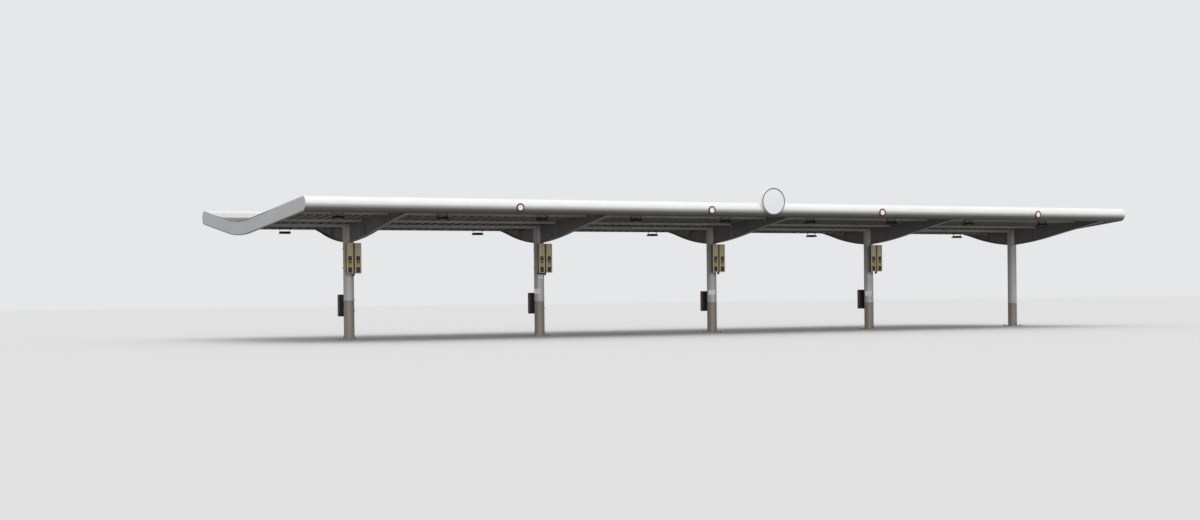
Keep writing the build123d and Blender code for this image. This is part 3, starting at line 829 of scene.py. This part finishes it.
def sheet_clips():
    """Dark clips at each low rib that hold the sheeting down, hooked under the purlin on the front slope."""
    half_w, thick, hook, arm_gap = 0.03, 0.004, 0.02, 0.13
    ribs = [x for x in rib_lines() if min(abs(x - c) for c in COLUMN_X) > arm_gap]
    rows = []
    for side in (-1, 1):
        for distance in PURLIN_LINES:
            low = purlin_bottom(side, distance)
            foot = low - 0.03 if side < 0 else low + 0.012
            y = side * (distance - PURLIN_HALF_W)
            for x in ribs:
                rows.append((x - half_w, x + half_w, y, y - side * thick, foot, low + PURLIN_H - thick))
                if side < 0:
                    rows.append((x - half_w, x + half_w, y + thick, y - hook, foot - thick, foot))
    add_piece("sheet_clips", blocks(*rows), LAMP_METAL)


def upstand_flashing():
    """Bent strip along the foot of each upstand: it lies on the ribs and turns up against the skin."""
    lap, gap, thick, upturn = 0.12, 0.001, 0.002, 0.11
    inner, wall = UPSTAND_Y - lap, UPSTAND_Y - gap
    crest = DECK_DEPTH + gap
    for side, name in ((-1, "front_flashing"), (1, "rear_flashing")):
        low_in, low_out = deck_z(side, side * inner) + crest, deck_z(side, side * wall) + crest
        top = low_out + upturn
        section = [(inner, low_in), (wall, low_out), (wall, top), (wall - thick, top),
                   (wall - thick, low_out + thick), (inner, low_in + thick)]
        add_steel(name, run_profile(np.multiply(section, (side, 1)), DECK_ENDS))


def gutter_details():
    """Straps across the gutter, and a domed strainer of bars over the outlet by each column."""
    half_w, lap, thick = 0.015, 0.012, 0.003
    low, high = DECK_INNER_Y[-1] - lap, DECK_INNER_Y[1] + lap
    straps = [(x - half_w, x + half_w, low, high, GUTTER_TOP_Z, GUTTER_TOP_Z + thick)
              for x in np.arange(LEFT_X + 0.7, RIGHT_X - 0.3, BAY / 7)]
    add_steel("gutter_straps", blocks(*straps), bevel=0.0008)
    outlet_shift, bar_r, reach, rise = 0.35, 0.0025, 0.052, 0.055
    outlets = [(x + outlet_shift, VALLEY_Y, GUTTER_Z + GUTTER_T) for x in COLUMN_X]
    t = np.linspace(0, pi / 2, 7)
    bar = bead(np.column_stack([reach * np.cos(t), np.zeros(7), rise * np.sin(t)]), bar_r, 0.0)
    bars = repeat(bar, [place(*at, 0, k * pi / 5) for at in outlets for k in range(10)])
    collars = repeat(hoop(0.045, 0.06, 0, 0.004, 24), [place(*at) for at in outlets])
    add_steel("gutter_strainers", join(bars, collars), smooth=True)


def joint_straps():
    """Cover straps over the fascia's joints: a flat section carried round the bullnose."""
    half_w, thick, sunk = 0.03, 0.0012, 0.0005
    frames = [place(x, 0, 0) for x in np.arange(LEFT_X + 2.0, RIGHT_X - 1.0, BAY / 2)]
    shapes = []
    for side in (-1, 1):
        grids = []
        for proud in (thick, -sunk):
            line = nose_line(side, proud)
            grid = np.empty((len(line), 2, 3))
            grid[:, :, 0] = (-half_w, half_w)
            grid[:, :, 1:] = line[:, None]
            grids.append(grid)
        shapes.append(repeat(shell(*grids), frames))
    add_piece("fascia_straps", join(*shapes), FASCIA_WHITE, smooth=True)


def drip_lips():
    """A small angle along the edge of each return, with its free leg turned down."""
    thick, drop, skin, leg = 0.002, 0.010, 0.001, 0.035
    y = RETURN_Y
    for side, name in ((-1, "front_drip_lip"), (1, "rear_drip_lip")):
        z = nose_line(side, 0.0)[-1][1]
        rise = (leg - thick) * tan(middle_slope(side))
        section = [(y, z - drop), (y + thick, z - drop), (y + thick, z - skin), (y + leg, z - skin + rise),
                   (y + leg, z + skin + rise), (y, z + skin)]
        add_piece(name, run_profile(np.multiply(section, (side, 1)), DECK_ENDS), FASCIA_WHITE)


def end_trims():
    """Edge trim round each end panel: an L section carried along the roof band's outline, with rivets."""
    lip, face_w, thick, first, pitch = 0.05, 0.04, 0.0015, 0.1, 0.3
    path = band_outline(-face_w / 2)
    loop = np.vstack([path, path[:1]])
    at = np.concatenate([[0], np.cumsum(np.linalg.norm(np.diff(loop, axis=0), axis=1))])
    spots = np.arange(first, at[-1], pitch)
    heads = list(zip(np.interp(spots, at, loop[:, 0]), np.interp(spots, at, loop[:, 1])))
    rivets = []
    for name, x, out in (("left_end_trim", LEFT_X, -1), ("right_end_trim", RIGHT_X, 1)):
        back, face = x - out * lip, x + out * thick
        section = [(thick, back), (thick, face), (-face_w, face), (-face_w, x), (0.0, x), (0.0, back)]
        lines = [np.insert(band_outline(proud), 0, depth, axis=1) for proud, depth in section]
        points = np.stack(lines, axis=1)
        faces = grid_faces(len(points), len(section), True, True).tolist()
        add_piece(name, (points.reshape(-1, 3), faces), FASCIA_WHITE)
        outward = np.column_stack([np.array([[0, 0, out], [1, 0, 0], [0, out, 0]]), (0, 0, 0)])
        rivets += [compose(place(face, y, z), outward) for y, z in heads]
    add_piece("end_rivets", repeat(dome_head(), rivets), FASCIA_WHITE)


def end_seams():
    """Raised cover seams over the joints between the end panels' sheets, across the roof band."""
    pitch, half_w, half_h, sunk, proud, arc_reach = 1.25, 0.012, 0.245, 0.002, 0.0015, 1.5
    rows = []
    for x, out in ((LEFT_X, -1), (RIGHT_X, 1)):
        for y in np.arange(-4.9, 5.2, pitch):
            side = -1 if y < VALLEY_Y else 1
            middle = NOSE_Z - tan(middle_slope(side)) * (NOSE_Y - abs(y))
            if abs(y - VALLEY_Y) < arc_reach:
                middle = float(np.interp(y, *valley_middle()))
            rows.append((x - out * sunk, x + out * proud, y - half_w, y + half_w,
                         middle - half_h, middle + half_h))
    add_piece("end_seams", blocks(*rows), END_GREY, bevel=0.0005)


# Floodlights

def lamp_frames():
    """The middle of each floodlight's lower face, turned with the roof above it."""
    frames = []
    for side in (-1, 1):
        y = side * LAMP_Y
        for x in sorted(c + shift * BAY / 4 for c in COLUMN_X for shift in (-1, 1)):
            if x < RIGHT_X:
                roof = place(x, y, deck_z(side, y), deck_tilt(side))
                frames.append(compose(roof, place(0, 0, -LAMP_DROP)))
    frames += [place(x - BAY / 4, VALLEY_Y, GUTTER_Z - VALLEY_LAMP_DROP) for x in COLUMN_X]
    return frames


def lamp_details():
    """Panes, bezels with clips, cooling fins and pivot bolts of the floodlights."""
    frames = lamp_frames()
    half_x, half_y = LAMP_W / 2, LAMP_D / 2
    pane = domed_pane(half_x - LAMP_RIM, half_y - LAMP_RIM, 0.0075, -0.006)
    add_piece("lamp_panes", repeat(pane, frames), LAMP_GLASS, smooth=True)
    bezel = rect_frame(half_x - 0.002, half_y - 0.002, [(0, 0.001), (0, -0.002), (0.003, -0.005),
                                                        (0.015, -0.005), (0.018, -0.001), (0.018, 0.001)])
    clip_half_w, clip_lap = 0.018, 0.006
    clips = blocks(*[(a - clip_half_w, a + clip_half_w, b * (half_y - clip_lap), b * (half_y + clip_lap),
                      -0.008, 0.022) for a in (-0.11, 0.11) for b in (-1, 1)])
    add_piece("lamp_bezels", repeat(join(bezel, clips), frames), LAMP_METAL)
    fin_half_t, fin_half_l, fin_sunk, fin_h = 0.002, 0.085, 0.004, 0.016
    fins = blocks(*[(a - fin_half_t, a + fin_half_t, -fin_half_l, fin_half_l,
                     LAMP_H - fin_sunk, LAMP_H + fin_h) for a in np.linspace(-0.165, 0.165, 12)])
    add_piece("lamp_fins", repeat(fins, frames), LAMP_METAL)
    pivots = []
    for hand in (-1, 1):
        sideways = place(hand * (half_x + LAMP_LEG_T), 0, LAMP_H / 2, pi / 2, hand * pi / 2)
        pivots += [compose(f, sideways) for f in frames]
    add_steel("lamp_pivots", repeat(bolt(0.013, 0.011, 0.02, 0.003), pivots))


# Lane signals and service boxes

def signal_details():
    """The front of each signal: rim, lens block with two hooded lenses, label, lower block and screws."""
    panels = [facing(x + shift, SIGNAL_FACE_Y, SIGNAL_Z)
              for x in FITTED_X for shift in (-SIGNAL_SHIFT, SIGNAL_SHIFT)]
    rim = rect_frame(SIGNAL_HALF_W, SIGNAL_HALF_H, [(0, -0.004), (0, 0.004), (0.002, 0.006), (0.010, 0.006),
                                                    (0.012, 0.004), (0.012, -0.004)])
    door = border(SIGNAL_HALF_W - 0.02, SIGNAL_HALF_H - 0.02, 0.004, 0.0025)
    add_piece("signal_rims", repeat(join(rim, door), panels), SIGNAL_CASE)
    lens_block = slab(0.07, LENS_BLOCK_SPAN, LENS_BLOCK_TOP)
    add_piece("lens_blocks", repeat(lens_block, panels), BLACK_CASE, bevel=0.004)
    lens = turned([(0.0, LENS_BLOCK_TOP), (0.044, LENS_BLOCK_TOP), (0.044, 0.021), (0.037, 0.028),
                   (0.022, 0.034), (0.0, 0.036)], 24)
    for label, glass in (("upper", GREEN_GLASS), ("lower", LAMP_GLASS)):
        spots = [compose(p, place(0, LENS_PLACE[label], 0)) for p in panels]
        add_piece(f"{label}_lenses", repeat(lens, spots), glass, smooth=True)
    hoods = [compose(p, place(0, up, LENS_BLOCK_TOP - 0.001)) for p in panels for up in LENS_PLACE.values()]
    add_piece("lens_hoods", repeat(hood(), hoods), BLACK_CASE, smooth=True)
    add_piece("signal_labels", repeat(slab(0.085, LABEL_SPAN, 0.003), panels), LABEL_YELLOW,
              bevel=0.001)
    lower = join(slab(0.082, LOWER_BLOCK_SPAN, 0.014), slab(0.07, BAR_SPAN, 0.008))
    add_piece("lower_blocks", repeat(lower, panels), BROWN_RED, bevel=0.004)
    screws = [compose(p, place(a, b, 0.0)) for p in panels for a in (-0.105, 0.105) for b in (-0.57, 0.57)]
    add_steel("signal_screws", repeat(dome_head(), screws))


def hood(radius=0.050, length=0.055, thick=0.0025, lap=0.35, foot=0.35, steps=18):
    """Visor over a lens: a tube from -lap to pi + lap, of length (foot + (1 - foot) sin(angle))."""
    angle = np.linspace(-lap, pi + lap, steps)
    reach = length * (foot + (1 - foot) * np.clip(np.sin(angle), 0, 1))
    grids = []
    for r in (radius, radius - thick):
        grid = np.empty((steps, 2, 3))
        grid[:, :, :2] = arc(0, 0, r, angle)[:, None]
        grid[:, :, 2] = np.stack([np.zeros(steps), reach], axis=1)
        grids.append(grid)
    return shell(*grids)


def signal_backing():
    """Black cover strip between the two signals of a pair, and the black edge of the left one."""
    low, high = SIGNAL_Z - SIGNAL_HALF_H, SIGNAL_Z + SIGNAL_HALF_H
    strip_half_w, strip_d, strip_tail, edge_t = 0.033, 0.08, 0.1, 0.003
    rows = []
    for x in FITTED_X:
        rows.append((x - strip_half_w, x + strip_half_w, SIGNAL_BACK_Y, SIGNAL_BACK_Y - strip_d,
                     low - strip_tail, high))
        edge = x - SIGNAL_SHIFT - SIGNAL_HALF_W
        rows.append((edge, edge - edge_t, SIGNAL_BACK_Y + 0.018, SIGNAL_FACE_Y - 0.002, low, high))
    add_piece("signal_backing", blocks(*rows), BLACK_CASE, bevel=0.002)


def column_clamps():
    """Strap clamps round the columns at the brackets of signals and boxes, with bolted ears."""
    seat, thick, half_h, ear_reach, ear_half_t = 0.0005, 0.005, 0.025, 0.034, 0.002
    bands, ears, bolts = [], [], []
    for x in FITTED_X:
        for z in (SIGNAL_Z - SIGNAL_CLAMP_RISE, SIGNAL_Z + SIGNAL_CLAMP_RISE,
                  BOX_Z - BOX_CLAMP_RISE, BOX_Z + BOX_CLAMP_RISE):
            bands.append(place(x, 0, z))
            for hand in (-1, 1):
                inner, outer = x + hand * (COLUMN_R + 0.003), x + hand * (COLUMN_R + ear_reach)
                for y in (0.006, -0.006):
                    ears.append((inner, outer, y - ear_half_t, y + ear_half_t, z - half_h, z + half_h))
                bolts.append(facing(x + hand * (COLUMN_R + 0.019), -0.008, z))
    strap = hoop(COLUMN_R + seat, COLUMN_R + seat + thick, -half_h, half_h)
    add_piece("column_clamps", join(repeat(strap, bands), blocks(*ears)), COLUMN_PAINT)
    add_steel("clamp_bolts", repeat(bolt(0.010, 0.008, 0.014, 0.002), bolts))


def box_details():
    """Door with hinges, lock and louvres on each service box, its back's fold and its dark red left side."""
    doors = [facing(x, BOX_FACE_Y, BOX_Z, 1) for x in FITTED_X]
    door_half_h, door_top = BOX_HALF_H - 0.03, 0.006
    panel = slab(BOX_HALF_W - 0.025, (-door_half_h, door_half_h), door_top)
    louvres = [slab(0.16, (up - 0.006, up + 0.006), 0.012, 0.005) for up in np.arange(0.18, 0.36, 0.03)]
    add_piece("box_doors", repeat(join(panel, *louvres), doors), BLACK_CASE, bevel=0.003)
    hinge = stack([(0.008, -0.05), (0.009, -0.048), (0.009, 0.048), (0.008, 0.05)])
    upright = place(0, 0, 0, -pi / 2)
    hinges = [compose(d, compose(place(-BOX_HALF_W + 0.02, up, door_top), upright))
              for d in doors for up in (-0.3, 0.3)]
    add_steel("box_hinges", repeat(hinge, hinges), smooth=True)
    lock = stack([(0.020, 0), (0.020, 0.004), (0.014, 0.005), (0.014, 0.014), (0.012, 0.016)], 20)
    locks = [compose(d, place(0.235, 0.0, door_top)) for d in doors]
    add_steel("box_locks", repeat(lock, locks), smooth=True)
    fold = border(BOX_HALF_W - 0.02, BOX_HALF_H - 0.02, 0.012, 0.004)
    add_piece("box_back_folds", repeat(fold, [facing(x, BOX_FRONT_Y, BOX_Z) for x in FITTED_X]),
              BLACK_CASE)
    sheet_t, edge, side_half_h = 0.004, 0.006, BOX_HALF_H - 0.02
    sides = [(x - BOX_HALF_W, x - BOX_HALF_W - sheet_t, BOX_FRONT_Y + edge, BOX_FACE_Y - edge,
              BOX_Z - side_half_h, BOX_Z + side_half_h) for x in FITTED_X]
    add_piece("box_red_sides", blocks(*sides), DARK_RED, bevel=0.0015)


# Plates and round signs

def notice_plates():
    """Bare plates strapped to columns 2, 3 and 4."""
    band_seat, band_t, band_half_h, band_rise = 0.0003, 0.002, 0.006, 0.06
    bands, frames = [], []
    for k, (lean, turn) in PLATE_LEAN_TURN.items():
        axis = place(COLUMN_X[k], 0, PLATE_Z - BAND_FALL * COLUMN_X[k], 0, turn)
        frames.append(compose(axis, facing(0, -COLUMN_R - 0.0025, 0, -1, lean)))
        bands += [compose(axis, place(0, 0, dz)) for dz in (-band_rise, band_rise)]
    plate = slab(PLATE_HALF_W, (-PLATE_HALF_H, PLATE_HALF_H), PLATE_T, 0.0)
    add_piece("notice_plates", repeat(plate, frames), PLATE_WHITE, bevel=0.0008)
    folded = border(PLATE_HALF_W, PLATE_HALF_H, 0.008, 0.003, 0.0015)
    add_piece("plate_borders", repeat(folded, frames), PLATE_WHITE)
    inset = 0.015
    screws = [compose(f, place(a * (PLATE_HALF_W - inset), b * (PLATE_HALF_H - inset), PLATE_T))
              for f in frames for a in (-1, 1) for b in (-1, 1)]
    add_steel("plate_screws", repeat(dome_head(0.004, 0.002), screws))
    strap = hoop(COLUMN_R + band_seat, COLUMN_R + band_seat + band_t, -band_half_h, band_half_h)
    add_piece("plate_bands", repeat(strap, bands), COLUMN_PAINT)


def reader():
    """The small reader below the signal on column 2: a pale body under a black cap."""
    front = facing(READER_X, -COLUMN_R - 0.002, READER_Z)
    body_half_h, back = 0.1, -0.03
    body = slab(0.115, (-body_half_h, body_half_h), 0.05, back)
    add_piece("reader_body", repeat(body, [front]), PLATE_WHITE, bevel=0.006)
    cap = slab(0.125, (body_half_h, body_half_h + 0.05), 0.065, back)
    add_piece("reader_cap", repeat(cap, [front]), BLACK_CASE, bevel=0.005)


def ring_signs():
    """Small round signs before the bullnose: a bare white disc in a red ring, on two flat brackets."""
    frames = [facing(x, RING_SIGN_Y, RING_SIGN_Z) for x in RING_SIGN_X]
    r, hole = RING_SIGN_R, RING_SIGN_R - RING_W
    disc_r = r - 0.002
    add_piece("ring_sign_discs", repeat(hoop(0.0, disc_r, 0.0, 0.003), frames), SIGN_WHITE)
    rim = turned([(hole, 0.002), (disc_r, 0.002), (disc_r, -0.012), (r, -0.012), (r, 0.003),
                  (r - 0.001, 0.0045), (hole, 0.0045)])
    add_piece("ring_sign_rims", repeat(rim, frames), RING_RED)
    half_w, low, thick = 0.012, RING_SIGN_Z + 0.05, 0.004
    arms = [(x + dx - half_w, x + dx + half_w, RING_BRACKET_ROOT_Y, RING_SIGN_Y, low, low + thick)
            for x in RING_SIGN_X for dx in (-0.07, 0.07)]
    add_steel("ring_sign_brackets", blocks(*arms))


def round_sign_details():
    """Rolled rim, slightly domed bare face and edge screws of the large round sign."""
    front = facing(SIGN_X, SIGN_FACE_Y, SIGN_Z)
    r, face_r = SIGN_R, SIGN_R - 0.038
    rim = turned([(r - 0.040, -0.001), (r + 0.004, -0.001), (r + 0.006, 0.004), (r + 0.002, 0.012),
                  (r - 0.010, 0.016), (r - 0.028, 0.012), (r - 0.040, 0.004)], 96)
    back = hoop(r - 0.002, r + 0.004, -0.118, -0.108, 96)
    add_piece("sign_rim", repeat(rim, [front]), RIM_GREY, smooth=True)
    add_piece("sign_back_rim", repeat(back, [front]), SIGN_WHITE)
    foot, edge, rise = -0.0005, 0.001, 0.010
    dome = [(face_r * a, edge + rise * (1 - a ** 2)) for a in np.linspace(0, 1, 10)[::-1]]
    face = turned(dome + [(0.0, foot), (face_r, foot)], 96)
    add_piece("sign_panel", repeat(face, [front]), SIGN_WHITE, smooth=True)
    spokes = [compose(front, place(0, 0, -0.06, pi / 2, k * pi / 6)) for k in range(12)]
    add_steel("sign_edge_screws", repeat(dome_head(), [compose(s, place(0, 0, r)) for s in spokes]))


# Camera, floor and light

def photo_camera():
    """Camera of the photograph. It leans by the roof's own slope along X, which the part leaves out."""
    data = bpy.data.cameras.new("camera")
    data.sensor_fit = "HORIZONTAL"
    data.sensor_width = SENSOR_W
    data.lens = FOCAL_PX / FRAME_W * SENSOR_W
    data.shift_y = HORIZON_DROP_PX / FRAME_W
    data.clip_end = 1000
    camera = add_object("camera", data)
    east, north = sin(CAMERA_HEADING), cos(CAMERA_HEADING)
    ahead = Vector((east, north, -CAMERA_RISE * east)).normalized()
    up = Vector((CAMERA_RISE, 0, 1)).normalized()
    turn = Matrix((ahead.cross(up), up, -ahead)).transposed().to_4x4()
    camera.matrix_world = Matrix.Translation(CAMERA_AT) @ turn
    bpy.context.scene.camera = camera


def pale_floor():
    """Floor that the camera sees pale, and that bounces light as a dull grey one does."""
    mesh = bpy.data.meshes.new("floor")
    corners = [(-1, -1), (1, -1), (1, 1), (-1, 1)]
    mesh.from_pydata([(x * FLOOR_HALF, y * FLOOR_HALF, 0) for x, y in corners], [], [(0, 1, 2, 3)])
    finish, tree, shader = new_finish("floor_finish", 0.9)
    seen = tree.nodes.new("ShaderNodeLightPath").outputs["Is Camera Ray"]
    feed(tree, shader["Base Color"], mix_node(tree, seen, srgb(112, 111, 108), srgb(214, 214, 212)))
    mesh.materials.append(finish)
    add_object("floor", mesh)


def seen_directly(tree):
    """1 for what the camera sees, also in a mirror or through glass: the largest of three ray kinds."""
    path = tree.nodes.new("ShaderNodeLightPath")
    kinds = ("Camera", "Glossy", "Transmission")
    camera, glossy, through = (path.outputs[f"Is {kind} Ray"] for kind in kinds)
    return math_node(tree, "MAXIMUM", math_node(tree, "MAXIMUM", camera, glossy), through)


def soft_light():
    """An even sky, brighter towards its top, a broad lamp overhead and a fainter one from the front."""
    world = bpy.data.worlds.new("sky")
    bpy.context.scene.world = world
    world.use_nodes = True
    tree = world.node_tree
    light = tree.nodes["Background"]
    light.inputs["Color"].default_value = SKY_COLOUR
    height = ramp(tree, coordinate(tree, "Z", "Generated"), 0.0, 1.0)
    feed(tree, light.inputs["Strength"], math_node(tree, "MULTIPLY_ADD", height, SKY_GAIN, SKY_STRENGTH))
    backdrop = tree.nodes.new("ShaderNodeBackground")
    backdrop.inputs["Color"].default_value = BACKDROP_COLOUR
    choose = tree.nodes.new("ShaderNodeMixShader")
    for socket, source in zip(choose.inputs, (seen_directly(tree), light.outputs[0], backdrop.outputs[0])):
        feed(tree, socket, source)
    feed(tree, tree.nodes["World Output"].inputs["Surface"], choose.outputs[0])
    for name, (energy, angle, shines_from) in LAMPS.items():
        data = bpy.data.lights.new(name, "SUN")
        data.energy = energy
        data.angle = angle
        add_object(name, data).rotation_euler = Vector(shines_from).to_track_quat("Z", "Y").to_euler()


finish_nodes()
column_feet()
arm_details()
purlin_cleats()
spine_splices()
deck_screws()
sheet_clips()
upstand_flashing()
gutter_details()
joint_straps()
drip_lips()
end_trims()
end_seams()
lamp_details()
signal_details()
signal_backing()
column_clamps()
box_details()
notice_plates()
reader()
ring_signs()
round_sign_details()
photo_camera()
pale_floor()
soft_light()
bpy.context.scene.view_settings.view_transform = "Standard"
